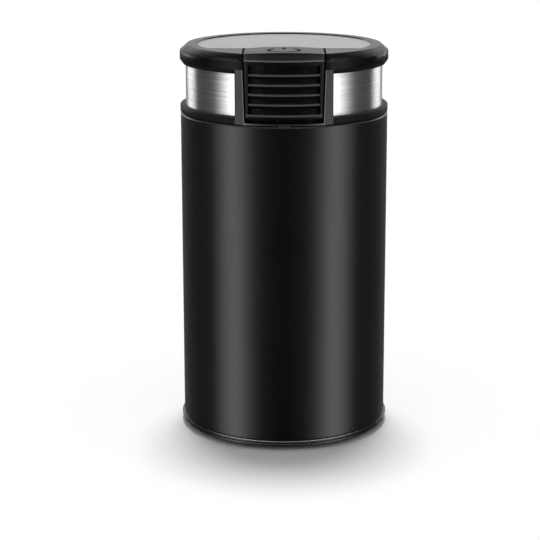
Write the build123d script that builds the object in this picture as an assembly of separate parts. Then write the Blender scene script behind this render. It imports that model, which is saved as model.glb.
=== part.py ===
"""Electric blade grinder for coffee beans and spices, in millimetres.

The grinder stands on Z = 0, on the centre line of its round body, and its press button faces -Y.
A round body shell carries a housing with a steel bowl, and a universal motor hangs under that
housing. The lid lifts off. Its button pushes a rod down through the deck, which works the switch.
"""
from build123d import *
from math import asin, cos, degrees, pi, radians, sin, tan
import os

# Driving dimensions.
BODY_R = 46.9            # body shell
SHELL_T = 1.8            # wall of the body shell
LID_R = 47.0             # lid, at its collar, posts and top ring
FLANGE_R = 47.9          # flange of the base, the widest part of the grinder
BASE_Z = 1.2             # underside of the base, held up by its feet
FLOOR_Z = 3.0            # inside floor of the base
SHELL_Z = 4.6            # lower edge of the body shell, on the flange
DECK_Z = 146.0           # top of the deck round the bowl, where the lid stands
SEAM_Z = 146.2           # top edge of the body shell
COLLAR_Z = 146.6         # lower edge of the lid's collar, a shadow gap above the shell
TOP_Z = 177.0            # flat top of the lid
BUTTON_TRAVEL = 1.8      # how far the press button goes down
FIT = 0.2                # clearance between pieces that go together by hand

# The bowl, and the housing that carries it.
BOWL_R = 37.6            # outside of the bowl
BOWL_T = 0.7             # sheet of the bowl
BOWL_LOW = 106.8         # underside of the bowl
SEAL_R = 7.2             # seal round the shaft, in the floor of the housing
HOUSING_Z = 104.0        # underside of the housing
NECK_R = 40.2            # outside of the neck that the lid goes over
NECK_Z = 161.0           # top of the neck, under the bowl's rim
RIM_Z = 162.2            # top of the bowl's rim
DECK_R = 44.7            # edge of the deck, inside the shell
DECK_T = 3.0

# The shaft, and what turns on it.
SHAFT_R = 3.0
RUNNING = 0.05           # radial clearance of the shaft in its bushes and seal
BLADE_Z = 117.0
BLADE_T = 1.6
NUT_BORE = 2.5

# The motor: stator stack, brackets and bolts.
STACK_LOW, STACK_HIGH = 58.0, 82.0
BORE_R = 15.3
ARMATURE_R = 14.7
COIL_IN, COIL_OUT = 17.5, 21.0
COIL_OVERHANG = 4.8
COMMUTATOR_R = 8.2
COMMUTATOR_LOW, COMMUTATOR_HIGH = 42.0, 51.0
UPPER_BRACKET_Z = 94.0
LOWER_BRACKET_Z = 36.0
PLATE_T = 2.6
BOLT_X = 26.0
BOLT_R = 1.8
BUSH_R = 6.0
MOUNT_XY = 20.0          # the four rubber mounts stand at plus and minus this in X and Y

# The lid and its button.
WALL_IN, WALL_OUT = 42.6, 44.0       # wall of the lid behind the steel band
BAND_LOW, BAND_HIGH = 150.1, 168.4   # edges of the steel band, between the collar and the top ring
POST_X = 21.0                        # outer edge of each post, at the lid's outside
OPENING_LOW, OPENING_TOP = 17.1, 18.1    # half width of the button's opening at the collar and the top
WINDOW_R = 39.2
CHORD_Y = -20.0                      # the window stops at this chord, behind the button
CUP_R = 42.5                         # outside of the clear cup
CUP_IN = 40.9
SHELF_Z = 171.5                      # shelf of the clear cup, under the button
BUTTON_GAP = 0.8                     # gap at each side of the button
BUTTON_BACK = -21.5                  # back edge of the button's top plate
FACE_LOW = 149.7                     # lower edge of the button's face
CHAMFER_Z, FLAT_R = 174.1, 43.7      # chamfer round the top of the lid and its button
PANEL_R = 44.9                       # bottom of the recess in the button's face

# The push rod and the switch that it works.
ROD_X = 2.5
ROD_FRONT, ROD_BACK = -43.9, -41.9
ROD_TOP = 146.6
LEVER_X, LEVER_Z = 13.5, 97.8        # hinge of the switch lever, which runs along Y
LEVER_T = 0.4
PIN_R = 0.35                          # pin of the lever, in the case's two ears
LEVER_ANGLE = 8.5                    # slope of the lever when the switch is off
SWITCH_FRONT, SWITCH_BACK = -39.6, -33.2
NOSE_R = 1.0
NOSE_Z = 101.13                      # centre of the rod's nose, 0.1 clear of the lever

# Fasteners and feet.
SCREW_R = 1.5
SCREW_HEAD_R = 2.8
COVER_SCREW_R = 39.2                 # circle of the three screws that hold the base
COVER_SCREW_ANGLES = (30, 150, 270)
FOOT_CIRCLE = 34.0
FOOT_ANGLES = (45, 135, 225, 315)
CORD_Z = 20.0                        # height of the cord's bush, at the back
CORD_R = 3.2                         # bore of that bush
CLAMP_X, CLAMP_Y, CLAMP_Z = 7.0, 28.0, 16.0


def eased(before, corner, after, radius):
    """Points that round a corner off: one flat on a small radius, two flats on a large one."""
    flats = 2 if radius > 3 else 1
    here = Vector(*corner)
    back = (Vector(*before) - here).normalized()
    ahead = (Vector(*after) - here).normalized()
    half = radians(back.get_angle(ahead)) / 2
    centre = here + (back + ahead).normalized() * (radius / sin(half))
    first = here + back * (radius / tan(half)) - centre
    last = here + ahead * (radius / tan(half)) - centre
    sweep = pi - 2 * half
    points = []
    for count in range(flats + 1):
        turn = sweep * count / flats
        point = centre + (first * sin(sweep - turn) + last * sin(turn)) * (1 / sin(sweep))
        points.append((point.X, point.Y))
    return points


def outline(*corners):
    """A closed face through (a, b) corners; a third number eases that corner by a radius."""
    points = []
    for number, corner in enumerate(corners):
        if len(corner) == 2:
            points.append(corner)
        else:
            after = corners[(number + 1) % len(corners)]
            points += eased(corners[number - 1][:2], corner[:2], after[:2], corner[2])
    return make_face(Polyline(*points, close=True))


def turned(*corners):
    """A solid turned about Z from (radius, z) corners."""
    return revolve(Plane.XZ * outline(*corners), Axis.Z)


def block(x, y, z):
    """A box from its limits along each axis."""
    size = [high - low for low, high in (x, y, z)]
    centre = [(high + low) / 2 for low, high in (x, y, z)]
    return Pos(*centre) * Box(*size)


def disc(radius, low, high):
    """An upright cylinder between two heights."""
    return Pos(0, 0, (low + high) / 2) * Cylinder(radius, high - low)


def ring(inner, outer, low, high):
    return disc(outer, low, high) - disc(inner, low - 1, high + 1)


def sector(inner, outer, low, high, centre, half):
    """Part of a ring, half degrees to each side of the centre angle."""
    reach = outer / cos(radians(half)) * 1.01 if half < 80 else outer * 3
    left, right = radians(centre - half), radians(centre + half)
    wedge = outline(
        (0, 0),
        (reach * cos(left), reach * sin(left)),
        (reach * cos(right), reach * sin(right)),
    )
    return ring(inner, outer, low, high) & Pos(0, 0, low) * extrude(wedge, high - low)


def round_about(shape, angles):
    """Copies of a shape, turned about Z."""
    return [Rot(0, 0, angle) * shape for angle in angles]


def joined(shapes):
    """One shape that holds all of these."""
    whole = shapes[0]
    for shape in shapes[1:]:
        whole = whole + shape
    return whole


def hex_screw(head_z, length, down):
    """A hexagon-headed screw on the Z axis; its head is below or above the height given."""
    head_t, across = 2.0, 2.9
    head = extrude(RegularPolygon(across, 6), head_t)
    if down:
        return disc(SCREW_R, head_z - length, head_z) + Pos(0, 0, head_z) * head
    return disc(SCREW_R, head_z, head_z + length) + Pos(0, 0, head_z - head_t) * head


def group(shapes):
    """Separate solids that share one node."""
    return Compound(children=[solid for shape in shapes for solid in shape.solids()])


def coil_spring(radius, wire, length, turns):
    """A coil spring that stands on Z = 0: square wire, bent in ten short runs to a turn."""
    runs = 10
    rise = (length - 1.2 * wire) / (turns * runs)
    low = 0.6 * wire
    points = []
    for count in range(turns * runs + 1):
        turn = 2 * pi * count / runs
        points.append((radius * cos(turn), radius * sin(turn), low + rise * count))
    line = Polyline(*points)
    section = Plane(origin=line @ 0, z_dir=line % 0) * Rectangle(wire, wire)
    return sweep(section, line, transition=Transition.RIGHT)


def screw(seat, length):
    """A pan-head screw on the Z axis, driven upwards, with a cross recess in its head."""
    head_t, recess = 1.4, 0.8
    cross = block((-1.6, 1.6), (-0.3, 0.3), (seat - head_t - 1, seat - head_t + recess))
    head = disc(SCREW_HEAD_R, seat - head_t, seat) - cross - Rot(0, 0, 90) * cross
    return head + disc(SCREW_R, seat, seat + length)


# ---------------------------------------------------------------- base

def foot(angle):
    """Rubber foot, a pad stuck under the base."""
    return Rot(0, 0, angle) * Pos(FOOT_CIRCLE, 0, 0) * disc(5.0, 0, BASE_Z)


def bottom_cover():
    """Base moulding: two beads round its edge, a spigot that plugs the shell, vents and posts."""
    bead_r, groove_r, groove_z = 47.2, 46.4, 3.3
    spigot_r, spigot_top, wall = BODY_R - SHELL_T - FIT, 11.0, 1.8
    body = turned(
        (0, BASE_Z), (bead_r, BASE_Z, 0.9), (bead_r, groove_z - 0.2, 0.4), (groove_r, groove_z),
        (FLANGE_R, groove_z + 0.3), (FLANGE_R, SHELL_Z, 0.4), (spigot_r, SHELL_Z),
        (spigot_r, spigot_top), (spigot_r - wall, spigot_top), (spigot_r - wall, FLOOR_Z), (0, FLOOR_Z),
    )
    vent = block((13.5, 28.5), (-1.2, 1.2), (0, FLOOR_Z + 1))
    body = body - round_about(vent, range(0, 360, 30))
    screw_hole = Pos(COVER_SCREW_R, 0, 2) * Cylinder(SCREW_R, 8)
    recess = Pos(COVER_SCREW_R, 0, BASE_Z) * Cylinder(SCREW_HEAD_R + 0.4, 2 * screw_recess())
    body = body - round_about(screw_hole + recess, COVER_SCREW_ANGLES)
    for x in (-CLAMP_X, CLAMP_X):
        pilot = Pos(x, CLAMP_Y, 0) * disc(SCREW_R, CLAMP_Z - 9, CLAMP_Z + 1)
        post = block((x - 3, x + 3), (CLAMP_Y - 3, CLAMP_Y + 3), (FLOOR_Z - 0.5, CLAMP_Z))
        body = body + (post - pilot)
    return body


def screw_recess():
    """Depth of the recess under the base that hides a cover screw's head."""
    return 1.0


def cover_screws():
    one = Pos(COVER_SCREW_R, 0, 0) * screw(BASE_Z + screw_recess(), 15)
    return group(round_about(one, COVER_SCREW_ANGLES))


def cord_grommet():
    """Rubber bush for the mains cord, gripping the edge of the hole in the shell."""
    lip_r, tail_r, tail_end, lip_back, lip_face = 6.4, 4.4, 36.0, 44.0, 47.85
    body = disc(tail_r, tail_end, lip_back) + disc(lip_r, lip_back, lip_face)
    body = Pos(0, 0, CORD_Z) * Rot(-90, 0, 0) * (body - disc(CORD_R, 20, 60))
    return body - shell_wall()


def cord_clamp():
    """Bar that holds the cord down on the two posts of the base."""
    half, width, thick = 10.5, 7.0, 3.2
    bar = block((-half, half), (CLAMP_Y - width / 2, CLAMP_Y + width / 2), (CLAMP_Z, CLAMP_Z + thick))
    arch = Pos(0, CLAMP_Y, CLAMP_Z - 1.2) * Rot(90, 0, 0) * Cylinder(CORD_R, width + 2)
    holes = [Pos(x, CLAMP_Y, 0) * disc(SCREW_R, CLAMP_Z - 1, CLAMP_Z + 5) for x in (-CLAMP_X, CLAMP_X)]
    return bar - arch - holes


def clamp_screws():
    one = hex_screw(CLAMP_Z + 3.2, 10, down=True)
    return group([Pos(x, CLAMP_Y, 0) * one for x in (-CLAMP_X, CLAMP_X)])


# ---------------------------------------------------------------- body

def shell_wall():
    """The round wall alone, with the hole for the cord's bush."""
    wall = turned(
        (BODY_R - SHELL_T, SHELL_Z), (BODY_R, SHELL_Z), (BODY_R, SEAM_Z, 0.6),
        (BODY_R - SHELL_T, SEAM_Z),
    )
    hole = Pos(0, BODY_R, CORD_Z) * Rot(90, 0, 0) * Cylinder(5.2, 12)
    return wall - hole


def body_shell():
    """Outer shell: round wall, ledges for the deck and three posts for the cover's screws."""
    ledge_low, ledge_high, ledge_r = 140.6, DECK_Z - DECK_T, 43.6
    post_half, post_top, web_low = 3.2, 34.0, 12.0
    outside = BODY_R - 0.5
    ledges = [sector(ledge_r, outside, ledge_low, ledge_high, angle, 16) for angle in (0, 90, 180)]
    ledges += [sector(ledge_r, outside, ledge_low, ledge_high, angle, 12) for angle in (240, 300)]
    inner, outer = COVER_SCREW_R - post_half, COVER_SCREW_R + post_half
    post = block((inner, outer), (-post_half, post_half), (FLOOR_Z, post_top))
    web = block((outer - 0.5, outside - 0.4), (-1.2, 1.2), (web_low, post_top - 4))
    pilot = Pos(COVER_SCREW_R, 0, 0) * disc(SCREW_R, FLOOR_Z - 1, FLOOR_Z + 18)
    return joined([shell_wall()] + ledges + round_about(post + web - pilot, COVER_SCREW_ANGLES))


def bowl_housing():
    """Deck, neck and pot that hold the bowl; the motor's posts, rod guide and switch wall hang on it."""
    pot_floor, bend = 2.4, 2.9
    body = turned(
        (SEAL_R, HOUSING_Z), (NECK_R, HOUSING_Z, bend), (NECK_R, DECK_Z - DECK_T),
        (DECK_R, DECK_Z - DECK_T), (DECK_R, DECK_Z), (NECK_R, DECK_Z), (NECK_R, NECK_Z),
        (BOWL_R + 0.4, NECK_Z), (BOWL_R + 0.4, HOUSING_Z + pot_floor), (SEAL_R, HOUSING_Z + pot_floor),
    )
    gusset = Pos(NECK_R - 0.3, 0, DECK_Z - DECK_T) * extrude(
        Plane.XZ * outline((0, 0), (0, -12), (3.6, 0)), 0.8, both=True
    )
    key = block((-3, 3), (NECK_R - 0.4, NECK_R + 1.6), (DECK_Z - 0.5, DECK_Z + 10))
    guide = block((-5, 5), (-44.1, -39.9), (112, 117))
    body = body + round_about(gusset, (30, 90, 150, 202, 248, 292, 338)) + key + guide
    half, low = 3.6, UPPER_BRACKET_Z + PLATE_T + 2.4
    post = block((-half, half), (-half, half), (low, HOUSING_Z + 0.5)) - disc(SCREW_R, 90, HOUSING_Z)
    body = body + [Pos(x, y, 0) * post for x, y in mount_spots()] + switch_wall()
    rod_slot = block((-ROD_X - FIT, ROD_X + FIT), (ROD_FRONT - FIT, ROD_BACK + FIT), (111, 118))
    deck_notch = block((-3.2, 3.2), (-46, ROD_BACK + FIT), (DECK_Z - DECK_T - 1, DECK_Z + 1))
    return body - rod_slot - deck_notch


def mount_spots():
    """Places of the four rubber mounts."""
    return [(x, y) for x in (-MOUNT_XY, MOUNT_XY) for y in (-MOUNT_XY, MOUNT_XY)]


def switch_wall():
    """Wall that carries the micro switch, with the shelf under the rod's spring."""
    low, shelf_t = 84.0, 2.0
    wall = block((-6, 17), (SWITCH_BACK, SWITCH_BACK + 1.8), (low, HOUSING_Z + 2))
    shelf = block((-3, 3), (-44.4, SWITCH_BACK + 0.5), (low, low + shelf_t))
    pin = Pos(0, (ROD_FRONT + ROD_BACK) / 2, 0) * disc(0.9, low + shelf_t - 0.5, low + shelf_t + 2.5)
    rib = block((-0.8, 0.8), (SWITCH_BACK + 1.5, SWITCH_BACK + 5), (low + 8, HOUSING_Z + 1))
    return wall + shelf + pin + rib


def grinding_bowl():
    """Deep-drawn steel bowl with rounded foot and a rim that covers the neck."""
    bend, inner, rim_r, floor = 8.0, BOWL_R - BOWL_T, NECK_R - 0.1, BOWL_LOW + BOWL_T
    return turned(
        (5.0, BOWL_LOW), (BOWL_R, BOWL_LOW, bend), (BOWL_R, NECK_Z), (rim_r, NECK_Z),
        (rim_r, RIM_Z, 0.6), (inner, RIM_Z), (inner, floor, bend - BOWL_T), (5.0, floor),
    )


def shaft_seal():
    """Rubber seal in the housing's floor; its collar stands up through the hole of the bowl."""
    return ring(SHAFT_R + RUNNING, SEAL_R, HOUSING_Z, BOWL_LOW) + ring(
        SHAFT_R + RUNNING, 5.0, BOWL_LOW - 0.5, 111.0
    )


# ---------------------------------------------------------------- rotor

def shaft():
    """Steel shaft from the lower bush up into the bowl, with a thinner end for the blade's nut."""
    return disc(SHAFT_R, 33.0, BLADE_Z) + disc(NUT_BORE, BLADE_Z - 1, 121.0)


def armature_core():
    """Laminated armature with twelve winding slots."""
    slot = block((8.6, 13.0), (-1.4, 1.4), (0, 200)) + block((12.6, 16.0), (-0.7, 0.7), (0, 200))
    core = ring(SHAFT_R, ARMATURE_R, STACK_LOW, STACK_HIGH)
    return core - round_about(slot, range(0, 360, 30))


def armature_winding():
    """Copper winding: a bundle in each slot and a twelve-sided head at each end of the core."""
    head_r, head_h = 13.8, 5.0
    head = extrude(Rot(0, 0, 15) * RegularPolygon(head_r, 12), head_h, taper=18) - disc(SHAFT_R + 1.2, -1, 9)
    upper = Pos(0, 0, STACK_HIGH) * head
    lower = Pos(0, 0, STACK_LOW) * Rot(180, 0, 0) * head
    bundle = block((8.8, 12.8), (-1.3, 1.3), (STACK_LOW - 1, STACK_HIGH + 1))
    return upper + lower + round_about(bundle, range(0, 360, 30))


def commutator():
    """Copper bars on an insulating sleeve, with a riser where the winding joins."""
    bars = ring(SHAFT_R, COMMUTATOR_R, COMMUTATOR_LOW, COMMUTATOR_HIGH)
    riser = ring(SHAFT_R, COMMUTATOR_R + 1.2, COMMUTATOR_HIGH, STACK_LOW - 5)
    gap = block((COMMUTATOR_R - 0.7, COMMUTATOR_R + 1), (-0.25, 0.25), (40, COMMUTATOR_HIGH))
    return bars - round_about(gap, range(15, 360, 30)) + riser


def cooling_fan():
    """Fan with eight flat blades, above the armature."""
    low, plate_t, top, fan_r, hub_r = 88.0, 1.2, 92.5, 20.0, 6.0
    vane = block((hub_r - 0.5, fan_r - 1.2), (-0.6, 0.6), (low + plate_t / 2, top))
    body = disc(fan_r, low, low + plate_t) + disc(hub_r, low, top)
    return body + round_about(vane, range(0, 360, 45)) - disc(SHAFT_R, 80, 100)


def blade_hub():
    """Hexagon boss on the shaft that drives the blade."""
    low = 112.0
    return Pos(0, 0, low) * extrude(RegularPolygon(6.8, 6), BLADE_Z - low) - disc(SHAFT_R, 100, 130)


def blade():
    """Two-winged steel blade, one tip bent up higher than the other, with ground leading edges."""
    reach, flat, high_tip, low_tip = 32.0, 11.0, 8.0, 4.5
    middle = BLADE_Z + BLADE_T / 2
    bend = FilletPolyline(
        (-reach - 2, middle + low_tip), (-flat, middle), (flat, middle), (reach + 2, middle + high_tip),
        radius=9,
    )
    side = Plane.XZ * trace(bend, line_width=BLADE_T)
    sheet = extrude(side, 12, both=True)
    plan = outline(
        (5, -6.5, 4), (31, -5.0, 5), (reach, 3.0, 2.5), (12, 6.5, 6),
        (-5, 6.5, 4), (-31, 5.0, 5), (-reach, -3.0, 2.5), (-12, -6.5, 6),
    )
    outlined = Pos(0, 0, BLADE_Z - 5) * extrude(plan, 30)
    return (sheet & outlined) - disc(NUT_BORE, 100, 130)


def blade_nut():
    """Hexagon nut with a collar, which holds the blade down."""
    low, collar_t, nut_h = BLADE_Z + BLADE_T, 0.8, 3.6
    nut = extrude(RegularPolygon(5.0, 6), nut_h) + disc(5.6, 0, collar_t)
    return Pos(0, 0, low) * nut - disc(NUT_BORE, low - 1, 121.0)


# ---------------------------------------------------------------- motor

def stator_core():
    """Laminated field frame: two poles along X and the windows that the coils sit in."""
    frame = extrude(RectangleRounded(58, 50, 9), STACK_HIGH - STACK_LOW)
    stack = Pos(0, 0, STACK_LOW) * frame - disc(BORE_R, 0, 200)
    slots = [
        sector(COIL_IN, COIL_OUT, STACK_LOW - 1, STACK_HIGH + 1, side, 62) for side in (0, 180)
    ]
    necks = [
        sector(COIL_IN - 1, COIL_OUT + 1, STACK_LOW, STACK_HIGH, side, 28) for side in (0, 180)
    ]
    openings = [
        sector(BORE_R - 2, COIL_OUT, STACK_LOW - 1, STACK_HIGH + 1, side, 30) for side in (90, 270)
    ]
    bolt = disc(1.8, 0, 200)
    bolts = [Pos(x, 0, 0) * bolt for x in (-BOLT_X, BOLT_X)]
    return stack - slots - openings + [neck & stack_block() for neck in necks] - bolts


def stack_block():
    """The whole block of the stator stack, which limits what is added to it."""
    return block((-29, 29), (-25, 25), (STACK_LOW, STACK_HIGH))


def field_coil(side):
    """Saddle coil round one pole: a curved ring that stands out above and below the stack."""
    low, high = STACK_LOW - COIL_OVERHANG, STACK_HIGH + COIL_OVERHANG
    outer = sector(COIL_IN, COIL_OUT, low, high, side, 60)
    window = sector(COIL_IN - 1, COIL_OUT + 1, STACK_LOW - 0.6, STACK_HIGH + 0.6, side, 29)
    return outer - window


def bracket_bar(low):
    """Bar of a motor bracket along X, with a square boss for its bush and holes for the bolts."""
    boss_low, boss_high = low - 1.5, low + 5.0
    bar = block((-30, 30), (-7, 7), (low, low + PLATE_T))
    boss = block((-8.5, 8.5), (-8.5, 8.5), (boss_low, boss_high))
    return bar + boss - [Pos(x, 0, 0) * disc(BOLT_R, 0, 200) for x in (-BOLT_X, BOLT_X)]


def bracket_pads(low, high):
    """Feet of a motor bracket, which stand on the stator round the through bolts."""
    pad = block((22.6, 29.4), (-7, 7), (low, high)) - Pos(BOLT_X, 0, 0) * disc(BOLT_R, 0, 200)
    return [pad, Rot(0, 0, 180) * pad]


def upper_bracket():
    """Bridge over the armature, with the upper bush and four ears on rubber mounts."""
    low, high = UPPER_BRACKET_Z, UPPER_BRACKET_Z + PLATE_T
    reach = MOUNT_XY * 2 ** 0.5 + 4.5
    arm = block((0, reach), (-4.5, 4.5), (low, high))
    body = joined([bracket_bar(low)] + bracket_pads(STACK_HIGH, low + 0.5) + round_about(arm, FOOT_ANGLES))
    holes = [Pos(x, y, 0) * disc(SCREW_R, low - 1, high + 1) for x, y in mount_spots()]
    return body - holes - disc(BUSH_R, 80, 110)


def lower_bracket():
    """Bridge under the armature, with the lower bush and a seat for each brush holder."""
    low = LOWER_BRACKET_Z
    cross = block((-5, 5), (-26, 26), (low, low + PLATE_T))
    seats = [block((-4, 4), y, (low + PLATE_T - 0.5, holder_low())) for y in ((14, 24), (-24, -14))]
    body = joined([bracket_bar(low), cross] + bracket_pads(low + 0.5, STACK_LOW) + seats)
    return body - disc(BUSH_R, 20, 60)


def bush(bracket_z):
    """Sintered bronze bush for the shaft, in the boss of a bracket."""
    return ring(SHAFT_R + RUNNING, BUSH_R, bracket_z - 1.5, bracket_z + 5.0)


def holder_low():
    """Underside of the brush holders."""
    return 42.5


def brush_holder(side):
    """Brass box that guides a carbon brush; its closed end backs the spring."""
    low, wall, size = holder_low(), 1.0, 8.0
    box = block((-size / 2, size / 2), (10.6, 25), (low, low + size))
    hollow = block((-size / 2 + wall, size / 2 - wall), (9, 24.2), (low + wall, low + size - wall))
    tab = block((-2, 2), (24.5, 29), (low + 3.6, low + 4.4))
    return Rot(0, 0, side) * (box - hollow + tab)


def carbon_brush(side):
    """Carbon block, hollowed at its tip to the curve of the commutator."""
    low = holder_low() + 1.0
    body = block((-2.9, 2.9), (6, 17), (low, low + 5.8)) - disc(COMMUTATOR_R + 0.05, 30, 60)
    return Rot(0, 0, side) * body


def brush_spring(side):
    length, turns = 7.2, 3
    spring = Rot(-90, 0, 0) * coil_spring(2.0, 0.5, length, turns)
    return Rot(0, 0, side) * Pos(0, 17, holder_low() + 4.0) * spring


def through_bolts():
    """Two long bolts that clamp both brackets on the stator."""
    low, high = LOWER_BRACKET_Z, UPPER_BRACKET_Z + PLATE_T
    hexagon = extrude(RegularPolygon(3.4, 6), 2.2)
    bolt = disc(BOLT_R, low, high + 3.0) + Pos(0, 0, low - 2.2) * hexagon
    nut = Pos(0, 0, high) * hexagon - disc(BOLT_R, high - 1, high + 5)
    return group([Pos(x, 0, 0) * piece for x in (-BOLT_X, BOLT_X) for piece in (bolt, nut)])


def motor_mounts():
    """Rubber pads between the upper bracket and the posts of the housing."""
    low, half = UPPER_BRACKET_Z + PLATE_T, 4.0
    one = block((-half, half), (-half, half), (low, low + 2.4)) - disc(SCREW_R, low - 1, low + 4)
    return group([Pos(x, y, 0) * one for x, y in mount_spots()])


def mount_screws():
    one = hex_screw(UPPER_BRACKET_Z, 9, down=False)
    return group([Pos(x, y, 0) * one for x, y in mount_spots()])


# ---------------------------------------------------------------- switch and wiring

def micro_switch():
    """Case of the micro switch, screwed to the housing's wall, with two terminals below."""
    low, high = 87.0, 97.0
    case = block((-5, 15), (SWITCH_FRONT, SWITCH_BACK), (low, high))
    middle, well_depth = (SWITCH_FRONT + SWITCH_BACK) / 2, 3.2
    well = Pos(switch_button_x(), middle, high) * Cylinder(1.0, 2 * well_depth)
    ear = block((LEVER_X - 1.5, 15), (SWITCH_FRONT, SWITCH_FRONT + 1.0), (high - 1, high + 1.8))
    ears = [ear, Pos(0, SWITCH_BACK - SWITCH_FRONT - 1.0, 0) * ear]
    pin = Pos(LEVER_X, middle, LEVER_Z) * Rot(90, 0, 0) * Cylinder(PIN_R, SWITCH_BACK - SWITCH_FRONT - 1)
    terminals = [block((x, x + 0.6), (-38.4, -34.4), (low - 5, low + 1)) for x in (-4.6, 11)]
    well_floor = block((LEVER_X - 1.5, 15), (SWITCH_FRONT + 1.0, SWITCH_BACK - 1.0), (high - 0.4, high + 1))
    return joined([case - well - well_floor, pin] + ears + terminals)


def switch_button_x():
    """Place of the switch's own button along X."""
    return 6.0


def switch_button():
    """The switch's own button, under the lever."""
    slope = tan(radians(LEVER_ANGLE))
    top = LEVER_Z + (LEVER_X - switch_button_x()) * slope - LEVER_T / 2 - 0.15
    return Pos(switch_button_x(), (SWITCH_FRONT + SWITCH_BACK) / 2, 0) * disc(0.8, 95.6, top)


def switch_lever():
    """Spring-steel lever with a rolled hinge end; the rod's nose bears on it."""
    width, roll_r, reach = 3.6, 0.75, LEVER_X + 4
    strip = block((-reach, -0.4), (-width / 2, width / 2), (-LEVER_T / 2, LEVER_T / 2))
    roll = Rot(90, 0, 0) * Cylinder(roll_r, width)
    hole = Rot(90, 0, 0) * Cylinder(PIN_R + RUNNING, width + 2)
    middle = (SWITCH_FRONT + SWITCH_BACK) / 2
    return Pos(LEVER_X, middle, LEVER_Z) * Rot(0, LEVER_ANGLE, 0) * (strip + roll - hole)


def push_rod():
    """Plastic rod from the deck to the switch: shoulder under the deck, foot with a rounded nose."""
    y = (ROD_FRONT, ROD_BACK)
    strip = block((-ROD_X, ROD_X), y, (NOSE_Z, ROD_TOP))
    shoulder = block((-4.2, 4.2), y, (137.5, DECK_Z - DECK_T - 0.1))
    foot_end = SWITCH_BACK - 1.2
    foot_bar = block((-ROD_X, ROD_X), (ROD_FRONT, foot_end), (NOSE_Z, NOSE_Z + 2.2))
    nose = Pos(0, (SWITCH_FRONT + foot_end) / 2, NOSE_Z) * Rot(90, 0, 0)
    nose = nose * Cylinder(NOSE_R, foot_end - SWITCH_FRONT)
    pin = Pos(0, (ROD_FRONT + ROD_BACK) / 2, 0) * disc(0.9, NOSE_Z - 2.5, NOSE_Z + 0.5)
    return strip + shoulder + foot_bar + nose + pin


def rod_spring():
    """Return spring of the rod, on the shelf of the switch wall."""
    shelf = 86.0
    spring = coil_spring(1.45, 0.5, NOSE_Z - shelf, 5)
    return Pos(0, (ROD_FRONT + ROD_BACK) / 2, shelf) * spring


def capacitor():
    """Interference capacitor, standing on the base."""
    return Pos(-16, 8, FLOOR_Z) * extrude(RectangleRounded(18, 9, 1.2), 15)


def terminal_block():
    """Two-pole screw terminal, standing on the base."""
    body = block((8, 26), (3, 13), (FLOOR_Z, FLOOR_Z + 11))
    for x in (12.5, 21.5):
        well = block((x - 2, x + 2), (6, 10), (FLOOR_Z + 6, FLOOR_Z + 12))
        way = block((x - 1.3, x + 1.3), (0, 16), (FLOOR_Z + 2.9, FLOOR_Z + 5.5))
        body = body - well - way
    return body


def lead(*points):
    """Insulated wire of 1.8 mm along a bent line."""
    line = Polyline(*points)
    section = Plane(origin=line @ 0, z_dir=line % 0) * RegularPolygon(0.9, 6)
    return sweep(section, line, transition=Transition.RIGHT)


def live_lead():
    """From the terminal block up to the switch."""
    return lead((12.5, 3, 7.2), (13, -6, 7.8), (22, -15, 12), (34, -20, 20), (34, -22, 74), (26, -30, 79),
                (11.3, -36.4, 81.0))


def switched_lead():
    """From the switch down to the left field coil."""
    end = STACK_LOW - COIL_OVERHANG - 0.9
    return lead((-4.3, -36.4, 81.0), (-18, -34, 76), (-30, -24, 68), (-34, -17, 58), (-30, -12, end),
                (-16, -9, end))


def neutral_lead():
    """From the terminal block to the right field coil."""
    end = STACK_LOW - COIL_OVERHANG - 0.9
    return lead((21.5, 13, 7.2), (21.5, 19, 8), (26, 20, 14), (29, 14, 22), (28, 12, end - 3),
                (25, 11, end), (16, 9, end))


# ---------------------------------------------------------------- lid

def lid_frame():
    """Black moulding of the lid: collar, wall behind the band, two posts and the chamfered top ring."""
    ring_edge, lip_r, top_t = 170.4, 45.6, 2.4
    body = turned(
        (WALL_IN, DECK_Z), (WALL_OUT, DECK_Z), (WALL_OUT, COLLAR_Z), (LID_R, COLLAR_Z, 0.5),
        (LID_R, BAND_LOW, 0.4), (WALL_OUT, BAND_LOW), (WALL_OUT, BAND_HIGH),
        (lip_r, BAND_HIGH), (LID_R, ring_edge), (LID_R, CHAMFER_Z), (FLAT_R, TOP_Z),
        (30, TOP_Z), (30, TOP_Z - top_t), (CUP_IN, TOP_Z - top_t), (CUP_IN, SHELF_Z), (WALL_IN, SHELF_Z),
    )
    plate = disc(31, TOP_Z - top_t, TOP_Z)
    post = block((OPENING_LOW, POST_X), (-LID_R, -30), (BAND_LOW - 1, ring_edge + 1))
    posts = [piece & ring(WALL_OUT - 0.5, LID_R, 140, 180) for piece in (post, mirror(post, Plane.YZ))]
    return body + plate + posts - window_hole(WINDOW_R, CHORD_Y, 160, TOP_Z + 1) - button_pocket()


def window_hole(radius, chord, low, high):
    """Round block cut off at the chord behind the button: the window's shape."""
    return disc(radius, low, high) & block((-60, 60), (chord, 60), (low, high))


def button_taper(inset, back, low, high):
    """Block from a plane at y = back to the front, which narrows downwards as the opening does."""
    growth = (OPENING_TOP - OPENING_LOW) / (TOP_Z - COLLAR_Z)
    lower, upper = [OPENING_LOW - inset + growth * (z - COLLAR_Z) for z in (low, high)]
    side, depth = outline((-lower, low), (lower, low), (upper, high), (-upper, high)), 40
    return Pos(0, back, 0) * extrude(Plane.XZ * side, depth)


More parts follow.
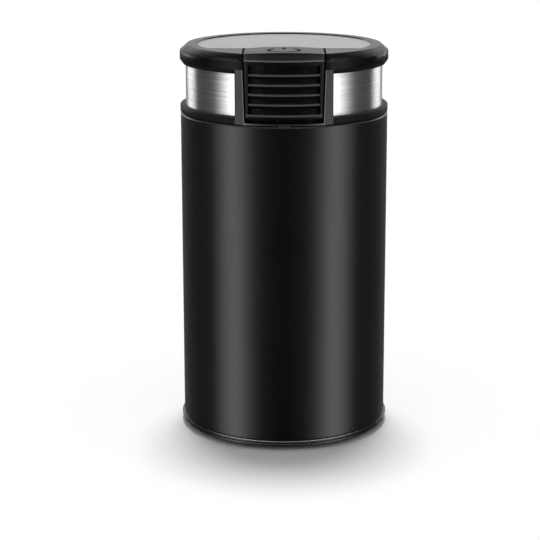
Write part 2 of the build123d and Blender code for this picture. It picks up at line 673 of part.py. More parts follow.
def button_pocket():
    """Space that the button needs in the frame, with the notch for its foot."""
    pocket_r, sill_z = 43.4, FACE_LOW - BUTTON_TRAVEL - 0.4
    top = button_taper(0, BUTTON_BACK + 0.3, SHELF_Z, TOP_Z + 5)
    front = button_taper(0, -20, sill_z, TOP_Z + 5) - disc(pocket_r, 100, 200)
    notch = block((-3.2, 3.2), (-45.0, -38), (DECK_Z - 1, 154))
    return top + front + notch


def steel_band():
    """Brushed steel strip wrapped round the lid from post to post."""
    thick = 0.4
    band = ring(WALL_OUT, WALL_OUT + thick, BAND_LOW, BAND_HIGH)
    post_angle = degrees(asin(POST_X / WALL_OUT))
    return band - sector(40, 50, BAND_LOW - 1, BAND_HIGH + 1, -90, post_angle + 0.2)


def clear_cup():
    """Clear inner cup: skirt that goes over the neck, shelf under the button and raised window."""
    skirt_low, wall, shelf_t, window_top = 147.0, 1.6, 1.8, TOP_Z - 0.3
    window_r, chord = WINDOW_R - 0.15, CHORD_Y + 0.15
    body = ring(CUP_IN, CUP_R, skirt_low, SHELF_Z) + disc(CUP_IN + 0.5, SHELF_Z - shelf_t, SHELF_Z)
    body = body + window_hole(window_r, chord, SHELF_Z - 0.5, window_top)
    hollow = window_hole(window_r - wall, chord + wall, SHELF_Z - shelf_t - 1, window_top - wall)
    ledge = ring(38.4, CUP_IN + 0.5, RIM_Z + 2.2, RIM_Z + 3.4)
    key_slot = block((-3.3, 3.3), (CUP_IN - 2, CUP_R + 2), (skirt_low - 1, DECK_Z + 11))
    return body - hollow + ledge - key_slot


def lid_gasket():
    """Silicone ring in the clear cup, which seals on the bowl's rim."""
    return ring(37.6, CUP_IN, RIM_Z, RIM_Z + 2.2)


def lid_button():
    """Press button: crowned top plate, louvred grip face and the foot that meets the push rod."""
    plate_t, crown, corner_r = 2.0, 0.8, 1.5
    foot_half, foot_front, foot_back = 2.6, -44.4, -42.8
    crown_z, half = TOP_Z + crown, OPENING_TOP - BUTTON_GAP
    prism = button_taper(BUTTON_GAP, BUTTON_BACK, FACE_LOW, crown_z)
    uprights = [
        edge for edge in prism.edges()
        if abs(edge.center().Y - BUTTON_BACK) < 0.01 and abs(edge.center().X) > 1
    ]
    prism = fillet(uprights, corner_r)
    whole = prism & turned(
        (0, FACE_LOW), (LID_R, FACE_LOW), (LID_R, CHAMFER_Z), (FLAT_R, crown_z), (0, crown_z)
    )
    crown_r = (half ** 2 + crown ** 2) / (2 * crown)
    dome = Pos(0, -35, crown_z - crown_r) * Rot(90, 0, 0) * Cylinder(crown_r, 60)
    whole = (whole & dome) - disc(FLAT_R, FACE_LOW - 1, TOP_Z - plate_t)
    foot_bar = block((-foot_half, foot_half), (foot_front, foot_back), (ROD_TOP + 0.3, FACE_LOW + 3))
    return whole - grip_recess() + foot_bar


def grip_recess():
    """Recess in the button's face, less the four louvres left standing in it."""
    half, low, high, slats = 15.5, 151.4, 172.6, 4
    front = block((-half, half), (-60, -30), (low, high))
    recess = ring(PANEL_R, LID_R + 5, low, high) & front
    root_r, tip_r = PANEL_R - 0.5, LID_R - 0.3
    pitch = (high - low) / (slats + 1)
    for count in range(1, slats + 1):
        ledge = low + count * pitch
        louvre = turned(
            (root_r, ledge + 0.6), (tip_r, ledge + 0.35, 0.15), (tip_r, ledge - 0.15, 0.15),
            (root_r, ledge - 2.4),
        )
        recess = recess - louvre
    return recess


def button_spring(side):
    """Return spring between the cup's shelf and the button's top plate."""
    spring = coil_spring(2.2, 0.5, TOP_Z - 2.0 - SHELF_Z, 3)
    return Pos(side * 11, -31, SHELF_Z) * spring


PIECES = {
    "bottom_cover": bottom_cover,
    "cover_screws": cover_screws,
    "cord_grommet": cord_grommet,
    "cord_clamp": cord_clamp,
    "clamp_screws": clamp_screws,
    "body_shell": body_shell,
    "bowl_housing": bowl_housing,
    "grinding_bowl": grinding_bowl,
    "shaft_seal": shaft_seal,
    "motor_shaft": shaft,
    "armature_core": armature_core,
    "armature_winding": armature_winding,
    "commutator": commutator,
    "cooling_fan": cooling_fan,
    "blade_hub": blade_hub,
    "blade": blade,
    "blade_nut": blade_nut,
    "stator_core": stator_core,
    "field_coil_right": lambda: field_coil(0),
    "field_coil_left": lambda: field_coil(180),
    "upper_bracket": upper_bracket,
    "lower_bracket": lower_bracket,
    "upper_bush": lambda: bush(UPPER_BRACKET_Z),
    "lower_bush": lambda: bush(LOWER_BRACKET_Z),
    "brush_holder_rear": lambda: brush_holder(0),
    "brush_holder_front": lambda: brush_holder(180),
    "carbon_brush_rear": lambda: carbon_brush(0),
    "carbon_brush_front": lambda: carbon_brush(180),
    "brush_spring_rear": lambda: brush_spring(0),
    "brush_spring_front": lambda: brush_spring(180),
    "through_bolts": through_bolts,
    "motor_mounts": motor_mounts,
    "mount_screws": mount_screws,
    "micro_switch": micro_switch,
    "switch_button": switch_button,
    "switch_lever": switch_lever,
    "push_rod": push_rod,
    "rod_spring": rod_spring,
    "capacitor": capacitor,
    "terminal_block": terminal_block,
    "live_lead": live_lead,
    "switched_lead": switched_lead,
    "neutral_lead": neutral_lead,
    "lid_frame": lid_frame,
    "steel_band": steel_band,
    "clear_cup": clear_cup,
    "lid_gasket": lid_gasket,
    "lid_button": lid_button,
    "button_spring_left": lambda: button_spring(-1),
    "button_spring_right": lambda: button_spring(1),
}
for number, angle in enumerate(FOOT_ANGLES, 1):
    PIECES[f"foot_{number}"] = lambda angle=angle: foot(angle)

os.makedirs("parts", exist_ok=True)
for name, make in PIECES.items():
    export_step(make(), f"parts/{name}.step")
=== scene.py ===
from math import cos, pi, radians, sin

import bmesh
import bpy
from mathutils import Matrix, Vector


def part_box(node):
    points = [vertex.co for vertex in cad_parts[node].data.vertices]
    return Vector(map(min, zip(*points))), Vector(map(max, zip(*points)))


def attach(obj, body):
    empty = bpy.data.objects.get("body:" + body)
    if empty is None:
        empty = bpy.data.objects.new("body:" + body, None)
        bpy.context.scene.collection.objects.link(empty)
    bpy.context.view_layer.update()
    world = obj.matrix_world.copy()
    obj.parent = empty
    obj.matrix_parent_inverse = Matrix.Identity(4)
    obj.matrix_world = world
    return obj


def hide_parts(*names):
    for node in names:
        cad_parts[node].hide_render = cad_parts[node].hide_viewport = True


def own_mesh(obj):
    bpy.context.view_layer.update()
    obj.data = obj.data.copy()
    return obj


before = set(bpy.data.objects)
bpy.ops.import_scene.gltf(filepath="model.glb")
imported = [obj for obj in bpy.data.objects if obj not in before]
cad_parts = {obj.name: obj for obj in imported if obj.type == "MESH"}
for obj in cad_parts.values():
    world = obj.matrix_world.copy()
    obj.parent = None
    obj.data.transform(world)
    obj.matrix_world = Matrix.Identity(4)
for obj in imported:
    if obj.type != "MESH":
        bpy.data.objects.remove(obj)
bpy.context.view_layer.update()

scene = bpy.context.scene
scene.view_settings.view_transform = "Standard"

# ---------------------------------------------------------------- camera
# A long lens three quarters of a metre in front of the grinder and a little above its lid,
# tilted down. The grinder stands right of the picture's middle and above it.
LENS_MM, FILM_MM, NEAR = 112.5, 36, 0.05
SHIFT_X, SHIFT_Y = -0.026, -0.052
CAMERA_PLACE = (0, -0.76, 0.2669)
CAMERA_TILT_DEG = 13.48
camera_data = bpy.data.cameras.new("camera")
camera_data.lens = LENS_MM
camera_data.sensor_width = FILM_MM
camera_data.shift_x = SHIFT_X
camera_data.shift_y = SHIFT_Y
camera_data.clip_start = NEAR
camera = bpy.data.objects.new("camera", camera_data)
camera.location = CAMERA_PLACE
camera.rotation_euler = (radians(90 - CAMERA_TILT_DEG), 0, 0)
scene.collection.objects.link(camera)
scene.camera = camera


# ---------------------------------------------------------------- studio
# White studio: a pale table, one soft lamp high behind the grinder, and pale screens at the
# sides and at the back that its gloss mirrors. The room in front is dark.
class Wire:
    """One output socket. Sums on it add Math nodes, and node() adds any other node."""

    def __init__(self, tree, socket=None):
        self.tree = tree
        self.socket = socket

    def node(self, kind, settings, inputs, output=0):
        """A new node: settings first, then the values or wires of its sockets."""
        new = self.tree.nodes.new("ShaderNode" + kind)
        stops = settings.pop("stops", ())
        for name, value in settings.items():
            setattr(new, name, value)
        for number, (position, grey) in enumerate(stops):
            points = new.color_ramp.elements
            point = points[number] if number < 2 else points.new(1.0)
            point.position = position
            point.color = (grey, grey, grey, 1)
        for name, value in inputs.items():
            if isinstance(value, Wire):
                self.tree.links.new(value.socket, new.inputs[name])
            else:
                new.inputs[name].default_value = value
        return Wire(self.tree, new.outputs[output])

    def maths(self, operation, other=0.0):
        """A Math node with this value first."""
        return self.node("Math", {"operation": operation}, {0: self, 1: other})

    def __add__(self, other):
        return self.maths("ADD", other)

    __radd__ = __add__

    def __sub__(self, other):
        return self.maths("SUBTRACT", other)

    def __rsub__(self, other):
        return self.node("Math", {"operation": "SUBTRACT"}, {0: other, 1: self})

    def __mul__(self, other):
        return self.maths("MULTIPLY", other)

    __rmul__ = __mul__

    def __truediv__(self, other):
        return self.maths("DIVIDE", other)

    def __lt__(self, other):
        """1 where this value is the lower one, and 0 elsewhere."""
        return self.maths("LESS_THAN", other)

    def __gt__(self, other):
        """1 where this value is the higher one, and 0 elsewhere."""
        return self.maths("GREATER_THAN", other)

    def ramp(self, *stops):
        """A grey that runs between (position, grey) stops."""
        return self.node("ValToRGB", {"stops": stops}, {"Fac": self})

    def between(self, low, high):
        """A colour from low to high as this value goes from 0 to 1. A plain number is a grey."""
        inputs = {0: self}
        for index, colour in ((6, low), (7, high)):
            if isinstance(colour, float):
                colour = (colour, colour, colour)
            inputs[index] = colour if isinstance(colour, Wire) else (*colour, 1)
        return self.node("Mix", {"data_type": "RGBA"}, inputs, output=2)

    def scaled(self, x, y, z):
        """A place stretched along each axis."""
        return self.node("VectorMath", {"operation": "MULTIPLY"}, {0: self, 1: (x, y, z)})

    def part(self, axis):
        """One number of a place: X, Y or Z."""
        return self.node("SeparateXYZ", {}, {0: self}, output=axis)

    def reach(self):
        """How far a place is from the grinder's axis."""
        return self.node("VectorMath", {"operation": "LENGTH"}, {0: self.scaled(1, 1, 0)}, "Value")

    def noise(self, size, detail=2.0):
        """Soft noise from 0 to 1, with features of a size in metres."""
        return self.node("TexNoise", {}, {"Vector": self, "Scale": 1 / size, "Detail": detail})

    def ray(self, kind):
        """1 on one kind of light ray and 0 on the others, or how often a ray has bounced."""
        return self.node("LightPath", {}, {}, kind)

    def into(self, shader, name):
        """Feeds this into a socket of a shader."""
        self.tree.links.new(self.socket, shader.inputs[name])


# Glow of the side screens, by the angle from straight in front.
SCREENS = ((0, 0.03), (14, 0.06), (26, 0.17), (35, 0.5), (45, 1.35), (54, 2.2), (62, 2.2), (70, 1.5),
           (80, 0.65), (86, 0.25), (92, 0.12), (108, 0.08), (128, 0.09), (150, 0.12), (180, 0.12))
BRIGHTEST = 2.2
# Glow of the thin lamp high in front, which draws light lines on the edges, and of the two low
# wings behind, which brighten the ends of the steel band. The clear cup passes a share of both.
STRIP, WINGS, CUP_SHARE = 11.0, 8.0, 0.35
# Glow of the backdrop high behind, of the pale air round it, and of all sides on dull surfaces.
BACKDROP, HAZE, AMBIENT = 1.0, 0.62, 0.35
world = bpy.data.worlds.new("studio")
world.use_nodes = True
world.cycles.sampling_method = "NONE"
scene.world = world
sky = Wire(world.node_tree)
way = sky.node("TexCoord", {}, {}, "Generated")
level = way.node("VectorMath", {"operation": "NORMALIZE"}, {0: way.scaled(1, 1, 0)})
# turn is 0 straight in front and 1 straight behind. rise is 0 straight down, 0.5 level, 1 straight up.
turn = (0 - level.part("Y")).maths("ARCCOSINE") / pi
rise = way.part("Z") * 0.5 + 0.5
screens = turn.ramp(*[(angle / 180, glow / BRIGHTEST) for angle, glow in SCREENS]) * BRIGHTEST
screens = screens * rise.ramp((0.0, 1.0), (0.82, 1.0), (0.93, 0.0))
strip = turn.ramp((0.3, 1.0), (0.62, 0.0)) * STRIP
strip = strip * rise.ramp((0.8, 0.0), (0.83, 1.0), (0.92, 1.0), (0.94, 0.0))
wings = turn.ramp((0.67, 0.0), (0.74, 1.0), (0.8, 1.0), (0.87, 0.0)) * WINGS
wings = wings * rise.ramp((0.48, 0.0), (0.492, 1.0), (0.525, 1.0), (0.537, 0.0))
haze = rise.ramp((0.48, 0.0), (0.51, 1.0)) * HAZE
backdrop = rise.ramp((0.63, 0.0), (0.68, 1.0), (0.84, 1.0), (0.92, 0.0)) * BACKDROP
behind = turn.ramp((0.70, 0.0), (0.84, 1.0))
passed = sky.ray("Is Reflection Ray") * (1 - CUP_SHARE) + CUP_SHARE
mirrored = screens + behind * (haze + backdrop) + (strip + wings) * passed
lit = sky.ray("Is Glossy Ray").between(AMBIENT, mirrored)
# The camera sees plain white, also straight through the clear cup.
bounces = sky.ray("Glossy Depth") + sky.ray("Diffuse Depth")
seen = sky.ray("Is Camera Ray") + sky.ray("Is Transmission Ray") * (bounces < 0.5)
seen.between(lit, 1.0).into(world.node_tree.nodes["Background"], "Color")

LAMP_STRENGTH, LAMP_SPREAD, LAMP_LEAN = 2.33, radians(16), radians(12)
lamp_data = bpy.data.lights.new("soft_lamp", "SUN")
lamp_data.energy = LAMP_STRENGTH
lamp_data.angle = LAMP_SPREAD
lamp = bpy.data.objects.new("soft_lamp", lamp_data)
lamp.rotation_euler = (-LAMP_LEAN, 0, 0)
lamp.visible_glossy = False
lamp.visible_transmission = False
scene.collection.objects.link(lamp)

finishes = {}


def finish(name, fixed):
    """A new material with fixed values. Gives its shader and a wire of the place in metres."""
    material = bpy.data.materials.new(name)
    finishes[name] = material
    material.use_nodes = True
    shader = material.node_tree.nodes["Principled BSDF"]
    for socket, value in fixed.items():
        shader.inputs[socket].default_value = value
    return shader, Wire(material.node_tree).node("TexCoord", {}, {}, "Object")


def make_object(name, mesh, material):
    """A new piece from a mesh, with its finish."""
    piece = bpy.data.objects.new(name, mesh)
    scene.collection.objects.link(piece)
    mesh.materials.append(finishes[material])
    return piece


FLOOR_R, FLOOR_SIDES, FLOOR_CLOUD = 4.0, 96, 0.6
shader, place = finish("table_white", {"Roughness": 0.8, "Specular IOR Level": 0.1})
place.noise(FLOOR_CLOUD).between(0.94, 0.96).into(shader, "Base Color")
floor_form = bmesh.new()
bmesh.ops.create_circle(floor_form, cap_ends=True, segments=FLOOR_SIDES, radius=FLOOR_R)
floor_mesh = bpy.data.meshes.new("floor")
floor_form.to_mesh(floor_mesh)
floor = make_object("floor", floor_mesh, "table_white")
floor.visible_glossy = False

# ---------------------------------------------------------------- base and feet
# Base moulding in satin black, with two beads round its edge. It plugs into the shell from
# below, and three zinc-plated screws hold it. Four rubber pads are stuck under it.
CLOUD, CLOUD_DULL = 0.018, 0.04
SCUFF, SCUFF_DULL, SCUFF_STRETCH = 0.0016, 0.03, (1, 1, 0.15)
TOOL_MARK, TOOL_MARK_DULL = 0.01, 0.1
STAIN, STAIN_DULL = 0.012, 0.08
WELD_GAP, EASED_FROM, EASE_FACETS = 0.000002, radians(32), 2


def emboss(height, depth):
    """A bump of a depth in metres."""
    return height.node("Bump", {}, {"Strength": 1.0, "Distance": depth, "Height": height})


def moulded(name, dark, light, gloss, grain, depth, shine=0.5):
    """A moulded plastic: cloudy colour, upright scuffs and a fine grain. Gives its shader and wires."""
    shader, place = finish(name, {"Specular IOR Level": shine})
    cloud = place.noise(CLOUD, detail=3.0)
    scuffs = place.scaled(*SCUFF_STRETCH).noise(SCUFF, detail=1.0).ramp((0.6, 0.0), (0.7, 1.0))
    colour = cloud.between(dark, light)
    roughness = cloud * CLOUD_DULL + scuffs * SCUFF_DULL + gloss
    colour.into(shader, "Base Color")
    roughness.into(shader, "Roughness")
    emboss(place.noise(grain), depth).into(shader, "Normal")
    return shader, place, colour, roughness


def metal(name, dark, light, gloss, stretch, depth):
    """A bare metal, with tool marks that are stretched along each axis."""
    shader, place = finish(name, {"Metallic": 1.0})
    marks = place.scaled(*stretch).noise(TOOL_MARK, detail=5.0)
    stain = place.noise(STAIN)
    marks.between(dark, light).into(shader, "Base Color")
    (marks * TOOL_MARK_DULL + stain * STAIN_DULL + gloss).into(shader, "Roughness")
    emboss(marks, depth).into(shader, "Normal")


def dress(material, *nodes):
    """Gives pieces of the frame a finish."""
    for node in nodes:
        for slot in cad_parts[node].material_slots:
            slot.material = finishes[material]


def ease(*nodes, width):
    """Rounds the sharp edges of pieces of the frame, as a mould does."""
    for node in nodes:
        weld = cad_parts[node].modifiers.new("weld", "WELD")
        weld.merge_threshold = WELD_GAP
        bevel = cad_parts[node].modifiers.new("ease", "BEVEL")
        bevel.width = width
        bevel.segments = EASE_FACETS
        bevel.limit_method = "ANGLE"
        bevel.angle_limit = EASED_FROM
        bevel.harden_normals = True


moulded("base_black", dark=(0.004, 0.004, 0.0042), light=(0.007, 0.007, 0.0073),
        gloss=0.24, grain=0.0007, depth=0.000003)
dress("base_black", "bottom_cover")
ease("bottom_cover", width=0.0002)
metal("zinc_steel", dark=(0.55, 0.56, 0.58), light=(0.72, 0.73, 0.74),
      gloss=0.22, stretch=(6, 6, 6), depth=0.00001)
dress("zinc_steel", "cover_screws")
moulded("foot_rubber", dark=(0.02, 0.02, 0.02), light=(0.035, 0.035, 0.034),
        gloss=0.7, grain=0.0004, depth=0.00003)
dress("foot_rubber", "foot_1", "foot_2", "foot_3", "foot_4")

# ---------------------------------------------------------------- cord inlet
# Rubber bush for the mains cord, low in the back of the shell, whose edge it grips. Inside, a
# plastic bar and two screws clamp the cord on two posts of the base.
moulded("inner_plastic", dark=(0.03, 0.03, 0.031), light=(0.045, 0.045, 0.047),
        gloss=0.4, grain=0.0005, depth=0.00001)
dress("foot_rubber", "cord_grommet")
dress("inner_plastic", "cord_clamp")
dress("zinc_steel", "clamp_screws")

# ---------------------------------------------------------------- body shell
# Round one-piece shell of ABS, moulded and then painted satin black. The paint is smooth, with
# the faintest orange peel. Hands rub it a little duller; its top edge is a painted highlight in grey.
EDGE_Z, SHELL_HIGHLIGHT_GREY = 0.14575, 0.085
shader, place, paint, _ = moulded(
    "body_black", dark=(0.003, 0.003, 0.0032), light=(0.0045, 0.0045, 0.0048),
    gloss=0.17, grain=0.0014, depth=0.000002)
# Painted highlight: the top edge of the shell is coloured a lighter grey.
top_edge_highlight = place.part("Z") > EDGE_Z
top_edge_highlight.between(paint, SHELL_HIGHLIGHT_GREY).into(shader, "Base Color")
dress("body_black", "body_shell")

# ---------------------------------------------------------------- bowl and its housing
# The bowl is deep-drawn stainless steel, spun bright, so its marks run round it. It sits in a
# dark grey housing that also carries the motor, and a rubber seal closes it round the shaft.
dress("inner_plastic", "bowl_housing")
dress("foot_rubber", "shaft_seal")
RING_MARK, RING_MARK_DULL, RING_MARK_DEPTH, RING_SHARE = 0.0007, 0.08, 0.000006, 0.6
BOWL_STAIN, BOWL_STAIN_DULL, BOWL_GLOSS = 0.01, 0.1, 0.16
shader, place = finish("bowl_steel", {"Metallic": 1.0, "Anisotropic": 0.6, "Anisotropic Rotation": 0.25})
round_way = place.node("CombineXYZ", {}, {"X": place.reach(), "Y": 0.0, "Z": place.part("Z")})
rings = round_way.noise(RING_MARK, detail=4.0)
stain = place.noise(BOWL_STAIN, detail=3.0)
tarnish = rings * RING_SHARE + stain * (1 - RING_SHARE)
tarnish.between((0.56, 0.56, 0.55), (0.8, 0.8, 0.79)).into(shader, "Base Color")
(rings * RING_MARK_DULL + stain * BOWL_STAIN_DULL + BOWL_GLOSS).into(shader, "Roughness")
emboss(rings, RING_MARK_DEPTH).into(shader, "Normal")
dress("bowl_steel", "grinding_bowl")

# ---------------------------------------------------------------- rotor of the motor
# Ground steel shaft with a stack of steel sheets on it, wound with varnished copper. Below the
# stack it carries a copper commutator and above it a plastic fan, both pressed on.
metal("hard_steel", dark=(0.5, 0.5, 0.51), light=(0.74, 0.74, 0.75),
      gloss=0.2, stretch=(1, 12, 6), depth=0.000008)
dress("hard_steel", "motor_shaft")
metal("lamination", dark=(0.16, 0.16, 0.17), light=(0.34, 0.34, 0.35),
      gloss=0.4, stretch=(0.3, 0.3, 40), depth=0.00004)
dress("lamination", "armature_core")
metal("copper", dark=(0.45, 0.17, 0.08), light=(0.72, 0.34, 0.18),
      gloss=0.28, stretch=(4, 4, 30), depth=0.00006)
dress("copper", "armature_winding", "commutator")
moulded("fan_plastic", dark=(0.09, 0.09, 0.09), light=(0.13, 0.13, 0.13),
        gloss=0.45, grain=0.0005, depth=0.00001)
dress("fan_plastic", "cooling_fan")

# ---------------------------------------------------------------- frame of the motor
# Two cast alloy brackets clamp the laminated stator and its copper coils between them with long
# bolts. Their bosses hold oily bronze bushes, and rubber pads carry the motor under the housing.
dress("lamination", "stator_core")
dress("copper", "field_coil_right", "field_coil_left")
metal("bracket_alloy", dark=(0.5, 0.51, 0.52), light=(0.66, 0.67, 0.68),
      gloss=0.32, stretch=(3, 3, 3), depth=0.00001)
dress("bracket_alloy", "upper_bracket", "lower_bracket")
ease("upper_bracket", "lower_bracket", width=0.0003)
metal("bronze", dark=(0.42, 0.27, 0.12), light=(0.62, 0.43, 0.22),
      gloss=0.38, stretch=(8, 8, 8), depth=0.00003)
dress("bronze", "upper_bush", "lower_bush")
dress("foot_rubber", "motor_mounts")
dress("zinc_steel", "through_bolts", "mount_screws")

# ---------------------------------------------------------------- brushes
# Carbon brushes in boxes of drawn brass, on seats of the lower bracket. A small spring in each
# box presses its brush on the commutator.
metal("holder_brass", dark=(0.6, 0.43, 0.16), light=(0.8, 0.62, 0.3),
      gloss=0.25, stretch=(4, 4, 4), depth=0.00001)
dress("holder_brass", "brush_holder_rear", "brush_holder_front")
moulded("carbon", dark=(0.02, 0.02, 0.022), light=(0.05, 0.05, 0.054),
        gloss=0.5, grain=0.0003, depth=0.00002)
dress("carbon", "carbon_brush_rear", "carbon_brush_front")
dress("zinc_steel", "brush_spring_rear", "brush_spring_front")

# ---------------------------------------------------------------- blade
# Stainless blade with one tip bent up higher than the other. It sits on a hexagon boss on the
# shaft, and a nut holds it down. Its faces are ground along their length.
dress("hard_steel", "blade", "blade_hub", "blade_nut")
ease("blade", "blade_hub", "blade_nut", width=0.0002)

# ---------------------------------------------------------------- switch
# Micro switch in a dark grey case, screwed to a wall of the housing. A lever of spring steel
# lies over its white button and turns on a pin in the case.
moulded("switch_plastic", dark=(0.05, 0.05, 0.055), light=(0.075, 0.075, 0.08),
        gloss=0.35, grain=0.0005, depth=0.000005)
dress("switch_plastic", "micro_switch")
dress("zinc_steel", "switch_lever")
moulded("white_nylon", dark=(0.74, 0.72, 0.66), light=(0.82, 0.8, 0.74),
        gloss=0.35, grain=0.0006, depth=0.000004)
dress("white_nylon", "switch_button")

# ---------------------------------------------------------------- push rod and its spring
# White nylon rod behind the body's front, from the deck down to the switch's lever. A spring
# coiled from zinc-plated wire, its end turns ground flat, pushes it back up.
dress("white_nylon", "push_rod")
WIRE_R, WIRE_SIDES, TURN_STEPS = 0.00025, 8, 16
ROD_COIL_R, ROD_TURNS, ROD_TRAVEL = 0.00145, 5, 0.0019


def coil_form(foot, height, coil_r, turns):
    """A coil of round wire that stands on its foot, with half a turn lying flat at each end."""
    form = bmesh.new()
    hoops = []
    climb = height - 2 * WIRE_R
    for step in range(turns * TURN_STEPS + 1):
        around = 2 * pi * step / TURN_STEPS
        share = (step / TURN_STEPS - 0.5) / (turns - 1)
        slope = climb / (2 * pi * (turns - 1)) if 0 < share < 1 else 0.0
        out = Vector((cos(around), sin(around), 0))
        along = Vector((-coil_r * sin(around), coil_r * cos(around), slope)).normalized()
        up = along.cross(out)
        middle = foot + out * coil_r + Vector((0, 0, WIRE_R + climb * min(max(share, 0), 1)))
        hoop = []
        for side in range(WIRE_SIDES):
            angle = 2 * pi * side / WIRE_SIDES
            hoop.append(form.verts.new(middle + (out * cos(angle) + up * sin(angle)) * WIRE_R))
        hoops.append(hoop)
    for before, after in zip(hoops, hoops[1:]):
        for side in range(WIRE_SIDES):
            other = (side + 1) % WIRE_SIDES
            form.faces.new((before[side], before[other], after[other], after[side])).smooth = True
    form.faces.new(hoops[0][::-1])
    form.faces.new(hoops[-1])
    return form


def spring(node, body, coil_r, turns):
    """A coil of wire in place of a node, standing on its foot and carried by a body."""
    low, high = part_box(node)
    foot = Vector(((low.x + high.x) / 2, (low.y + high.y) / 2, low.z))
    height = high.z - low.z
    mesh = bpy.data.meshes.new(node + "_coil")
    coil_form(foot, height, coil_r, turns).to_mesh(mesh)
    coil = make_object(node + "_coil", mesh, "zinc_steel")
    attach(coil, body)
    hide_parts(node)
    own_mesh(coil)


spring("rod_spring", "grinder_base", ROD_COIL_R, ROD_TURNS)

# ---------------------------------------------------------------- wiring
# White terminal block and yellow box capacitor, which stand on the base. Leads with coloured
# insulation join the block, the switch and the field coils.
dress("white_nylon", "terminal_block")
moulded("capacitor_yellow", dark=(0.62, 0.42, 0.06), light=(0.74, 0.54, 0.1),
        gloss=0.3, grain=0.0006, depth=0.000004)
dress("capacitor_yellow", "capacitor")
moulded("brown_wire", dark=(0.16, 0.07, 0.03), light=(0.24, 0.11, 0.05),
        gloss=0.35, grain=0.0005, depth=0.000005)
dress("brown_wire", "live_lead", "switched_lead")
moulded("blue_wire", dark=(0.05, 0.14, 0.4), light=(0.08, 0.2, 0.5),
        gloss=0.35, grain=0.0005, depth=0.000005)
dress("blue_wire", "neutral_lead")

# ---------------------------------------------------------------- lid frame
# Satin black moulding of the lid: collar, two posts and the chamfered ring round the window, with
# edges eased by the mould. Below the ring the mould is spark-eroded, so the plastic is duller.
# The posts are coloured a lighter grey, a painted sheen. Beside the button and at the ends of the
# sill below, a painted highlight makes them lighter still towards the ends.
RING_Z, COLLAR_Z = 0.1704, 0.1466
POST_X, POST_R = 0.0212, 0.0466
OPENING_X, OPENING_GROWTH = 0.0175, 0.0329
ERODED_DULL, POST_SHEEN_GREY = 0.25, 0.077
SILL_HIGHLIGHT_MIDDLE, SILL_HIGHLIGHT_END = 0.018, 0.21
shader, place, black, gloss = moulded(
    "lid_black", dark=(0.003, 0.003, 0.0031), light=(0.005, 0.005, 0.0052),
    gloss=0.23, grain=0.0009, depth=0.000003, shine=0.1)
height = place.part("Z")
aside = place.part("X").maths("ABSOLUTE")
eroded = height < RING_Z
posts = eroded * (aside < POST_X) * (place.reach() > POST_R) * (place.part("Y") < 0.0)
opening = (height - COLLAR_Z) * OPENING_GROWTH + OPENING_X
# Painted highlight: the front below the button is coloured lighter towards its ends.
sill_highlight_mask = posts * (aside < opening)
highlight_share = (aside / opening) * (aside / opening)
sill_highlight = (highlight_share * highlight_share).between(SILL_HIGHLIGHT_MIDDLE, SILL_HIGHLIGHT_END)
# Painted sheen: the posts are coloured a lighter grey than the rest of the frame.
sill_highlight_mask.between(posts.between(black, POST_SHEEN_GREY), sill_highlight).into(shader, "Base Color")
(gloss + eroded * ERODED_DULL).into(shader, "Roughness")
dress("lid_black", "lid_frame")
ease("lid_frame", width=0.0003)

# ---------------------------------------------------------------- steel band
# Strip of brushed stainless steel, wrapped round the lid from post to post. The brush ran along
# the strip, so its lines lie level and the light spreads up and down.
LINE, LINE_STRETCH, LINE_DULL = 0.012, (0.25, 0.25, 40), 0.1
HAIR, HAIR_STRETCH, HAIR_DEPTH = 0.006, (0.4, 0.4, 60), 0.000004
LINE_SHARE, BAND_GLOSS = 0.6, 0.27
shader, place = finish("brushed_band", {"Metallic": 1.0, "Anisotropic": 1.0, "Anisotropic Rotation": 0.25})
lines = place.scaled(*LINE_STRETCH).noise(LINE, detail=6.0)
hairs = place.scaled(*HAIR_STRETCH).noise(HAIR, detail=3.0)
streaks = (lines * LINE_SHARE + hairs * (1 - LINE_SHARE)).ramp((0.35, 0.0), (0.63, 1.0))
streaks.between((0.5, 0.5, 0.505), (0.84, 0.84, 0.845)).into(shader, "Base Color")
(lines * LINE_DULL + BAND_GLOSS).into(shader, "Roughness")
emboss(hairs, HAIR_DEPTH).into(shader, "Normal")
dress("brushed_band", "steel_band")

# ---------------------------------------------------------------- clear cup and gasket
# Clear inner cup of AS plastic, polished: skirt, shelf and raised window in one moulding. Its
# shelf under the button is coloured black, a painted shade that keeps the gaps round the button
# dark. A ring of grey silicone lies in it, on the bowl's rim.
SHADE_Y, SHADE_Z, SHADE_BLACK = -0.0199, 0.1696, (0.004, 0.004, 0.004, 1)
BLUR, BLUR_DULL = 0.008, 0.04
shader, place = finish("clear_plastic", {"Transmission Weight": 1.0, "IOR": 1.49})
blur = place.noise(BLUR, detail=4.0)
blur.between((0.965, 0.985, 0.985), 1.0).into(shader, "Base Color")
(blur * BLUR_DULL).into(shader, "Roughness")
open_way = place.node("BsdfTransparent", {}, {})
polished = Wire(place.tree, shader.outputs[0])
glazed = place.node("MixShader", {}, {0: place.ray("Is Shadow Ray"), 1: polished, 2: open_way})
# Painted shade: the shelf under the button is coloured black, so the gaps round the button show dark.
shade_mask = (place.part("Y") < SHADE_Y) * (place.part("Z") > SHADE_Z)
paint = place.node("BsdfDiffuse", {}, {"Color": SHADE_BLACK})
cup = place.node("MixShader", {}, {0: shade_mask, 1: glazed, 2: paint})
cup.into(place.tree.nodes["Material Output"], "Surface")
dress("clear_plastic", "clear_cup")
moulded("grey_silicone", dark=(0.42, 0.43, 0.44), light=(0.52, 0.53, 0.54),
        gloss=0.5, grain=0.0005, depth=0.00001)
dress("grey_silicone", "lid_gasket")
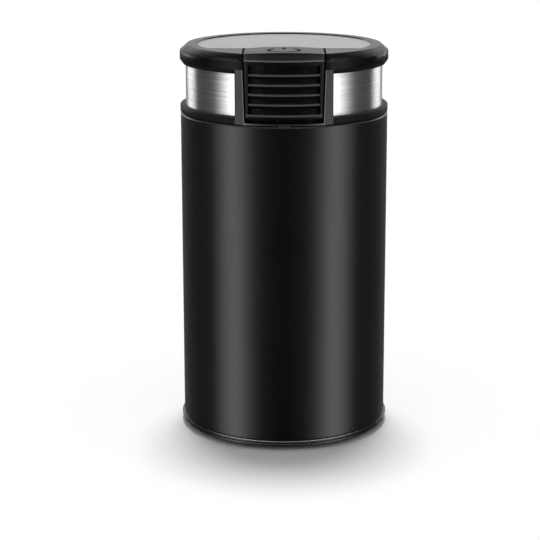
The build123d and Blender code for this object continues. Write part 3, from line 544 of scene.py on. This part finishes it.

# ---------------------------------------------------------------- press button
# Matt black button in the front of the lid, with a crowned top and four grip ribs. The rib tips
# and the lip under them are coloured greyer, painted highlights. Two short springs on the cup's
# shelf push it up.
TIP_LOW, TIP_HIGH = 0.04645, 0.04685
LIP_LOW, LIP_HIGH = 0.1506, 0.15145
HIGHLIGHT_BLOTCH, HIGHLIGHT_SPREAD, HIGHLIGHT_LEAST, HIGHLIGHT_GREY = 0.003, 0.6, 0.7, 0.08
COIL_R, TURNS, TRAVEL = 0.0022, 3, 0.0018
shader, place, matt, _ = moulded(
    "button_black", dark=(0.002, 0.002, 0.0021), light=(0.004, 0.004, 0.0042),
    gloss=0.32, grain=0.0006, depth=0.0000005, shine=0.12)
reach = place.reach()
height = place.part("Z")
tips = (reach > TIP_LOW) * (reach < TIP_HIGH)
lip = (height > LIP_LOW) * (height < LIP_HIGH) * (reach > TIP_HIGH)
# Painted highlights: the rib tips and the lip under them are coloured a lighter grey.
highlight_share = (tips + lip) * (place.noise(HIGHLIGHT_BLOTCH, detail=3.0) * HIGHLIGHT_SPREAD + HIGHLIGHT_LEAST)
highlight_share.between(matt, HIGHLIGHT_GREY).into(shader, "Base Color")
dress("button_black", "lid_button")
ease("lid_button", width=0.00015)
spring("button_spring_left", "lid", COIL_R, TURNS)
spring("button_spring_right", "lid", COIL_R, TURNS)

# ---------------------------------------------------------------- power mark
# Grey ink printed on the crowned top of the button: a ring with a gap at the back, and a short
# bar in that gap. The print stands a few hundredths of a millimetre above the plastic.
RING_R, RING_WIDTH, RING_GAP, RING_STEPS = 0.0067, 0.0015, radians(38), 40
BAR_LOW, BAR_HIGH = 0.0025, 0.008
INK_ABOVE, INK_THICK = 0.00003, 0.00008
INK_GRAIN, INK_DARK, INK_LIGHT = 0.001, 0.02, 0.035
CROWN, MARK_IN = 0.0008, 0.0135
BUTTON_LOW, BUTTON_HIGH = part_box("lid_button")
shader, place = finish("mark_grey", {"Roughness": 0.8, "Specular IOR Level": 0.0})
place.noise(INK_GRAIN, detail=3.0).between(INK_DARK, INK_LIGHT).into(shader, "Base Color")


def on_crown(form, x, y):
    """A point of the print on the crowned top, by its place from the middle of the ring."""
    drop = CROWN * (x / BUTTON_HIGH.x) ** 2
    return form.verts.new((x, BUTTON_LOW.y + MARK_IN + y, BUTTON_HIGH.z - drop + INK_ABOVE))


mark_form = bmesh.new()
ring_edges = []
for step in range(RING_STEPS + 1):
    angle = pi / 2 + RING_GAP + (2 * pi - 2 * RING_GAP) * step / RING_STEPS
    radii = (RING_R + RING_WIDTH / 2, RING_R - RING_WIDTH / 2)
    ring_edges.append([on_crown(mark_form, r * cos(angle), r * sin(angle)) for r in radii])
for (outer, inner), (next_outer, next_inner) in zip(ring_edges, ring_edges[1:]):
    mark_form.faces.new((outer, next_outer, next_inner, inner))
half = RING_WIDTH / 2
bar = ((-half, BAR_LOW), (half, BAR_LOW), (half, BAR_HIGH), (-half, BAR_HIGH))
mark_form.faces.new([on_crown(mark_form, x, y) for x, y in bar])
mark_mesh = bpy.data.meshes.new("power_mark")
mark_form.to_mesh(mark_mesh)
power_mark = make_object("power_mark", mark_mesh, "mark_grey")
ink = power_mark.modifiers.new("ink", "SOLIDIFY")
ink.thickness = INK_THICK
ink.offset = -1.0
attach(power_mark, "press_button")
